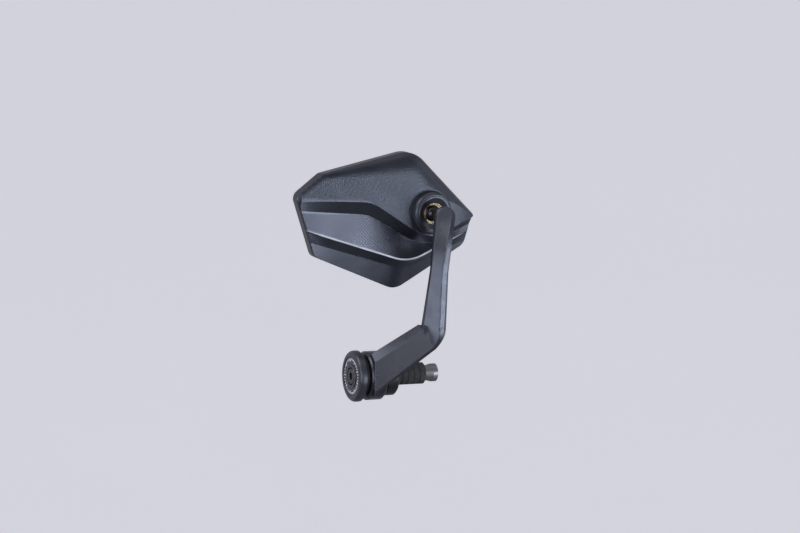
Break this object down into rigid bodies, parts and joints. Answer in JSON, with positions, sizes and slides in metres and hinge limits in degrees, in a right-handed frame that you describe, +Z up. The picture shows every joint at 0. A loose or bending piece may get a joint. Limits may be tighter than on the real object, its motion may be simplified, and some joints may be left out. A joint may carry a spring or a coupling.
{
  "type": "motorcycle bar-end mirror",
  "caption": "Bar-end motorcycle mirror with a faceted black head on a ball joint, a bent cast arm and an expanding bar plug.",
  "frame": {"origin": "centre of the handlebar's end face, where the spacer collar stops", "axes": "+X runs into the handlebar, -Y is forward, +Z is up; the mirror looks to +Y"},
  "size_m": [0.1562, 0.0663, 0.199],
  "materials": {
    "sleeve_rubber": "matt",
    "wedge_aluminium": "turned",
    "bolt_steel": "black oxide",
    "washer_steel": "black oxide",
    "cap_anodised": "black anodised, satin",
    "ring_plastic": "matt",
    "washer_plastic": "matt",
    "collar_anodised": "black anodised",
    "arm_coating": "satin black coating on cast aluminium",
    "stud_steel": "polished dark steel",
    "seat_brass": "polished",
    "socket_plastic": "glossy",
    "inner_plastic": "moulded",
    "spring_steel": "ground",
    "shell_plastic": "fine moulded grain",
    "gasket_rubber": "matt",
    "rim_plastic": "semi-gloss",
    "screw_steel": "zinc",
    "pad_foam": "foam",
    "mirror_glass": "polished"
  },
  "bodies": {
    "bar_clamp": {"spacer_collar": "collar_anodised", "expander_sleeve": "sleeve_rubber", "end_cap": "cap_anodised", "thrust_ring": "ring_plastic", "friction_washer": "washer_plastic", "lock_washer": "washer_steel"},
    "bolt": {"clamp_bolt": "bolt_steel"},
    "wedge": {"wedge_nut": "wedge_aluminium"},
    "arm": {"arm": "arm_coating", "ball_stud": "stud_steel", "stud_washer": "washer_steel"},
    "ball_rear": {"rear_seat": "seat_brass"},
    "ball_front": {"front_seat": "seat_brass"},
    "head": {"back_shell": "shell_plastic", "front_rim": "rim_plastic", "mirror_glass": "mirror_glass", "rim_gasket": "gasket_rubber", "carrier_plate": "inner_plastic", "carrier_screws": "screw_steel", "adhesive_pad": "pad_foam", "socket_collar": "socket_plastic", "pressure_plate": "inner_plastic", "disc_spring": "spring_steel", "adjuster_plug": "inner_plastic"}
  },
  "joints": [
    {"name": "arm_swivel", "type": "hinge", "parent": "bar_clamp", "child": "arm", "pos_m": [-0.018, 0, 0], "axis": [1, 0, 0], "continuous": true},
    {"name": "head_pan", "type": "hinge", "parent": "arm", "child": "ball_rear", "pos_m": [0.0259, -0.021, 0.1294], "axis": [0.0121, -0.1386, 0.9903], "range_deg": [-20, 20]},
    {"name": "head_tilt", "type": "hinge", "parent": "ball_rear", "child": "ball_front", "pos_m": [0.0259, -0.021, 0.1294], "axis": [0.9962, 0.0872, 0], "range_deg": [-15, 15]},
    {"name": "head_roll", "type": "hinge", "parent": "ball_front", "child": "head", "pos_m": [0.0259, -0.021, 0.1294], "axis": [0.0863, -0.9865, -0.1392], "range_deg": [-25, 25]},
    {"name": "bolt_turn", "type": "hinge", "parent": "bar_clamp", "child": "bolt", "pos_m": [-0.036, 0, 0], "axis": [1, 0, 0], "range_deg": [0, 720]},
    {"name": "wedge_draw", "type": "slide", "parent": "bar_clamp", "child": "wedge", "axis": [-1, 0, 0], "range_m": [0, 0.0025]}
  ],
  "couplings": [
    {"joint": "wedge_draw", "follows": "bolt_turn", "m_per_rad": 0.00019894}
  ]
}
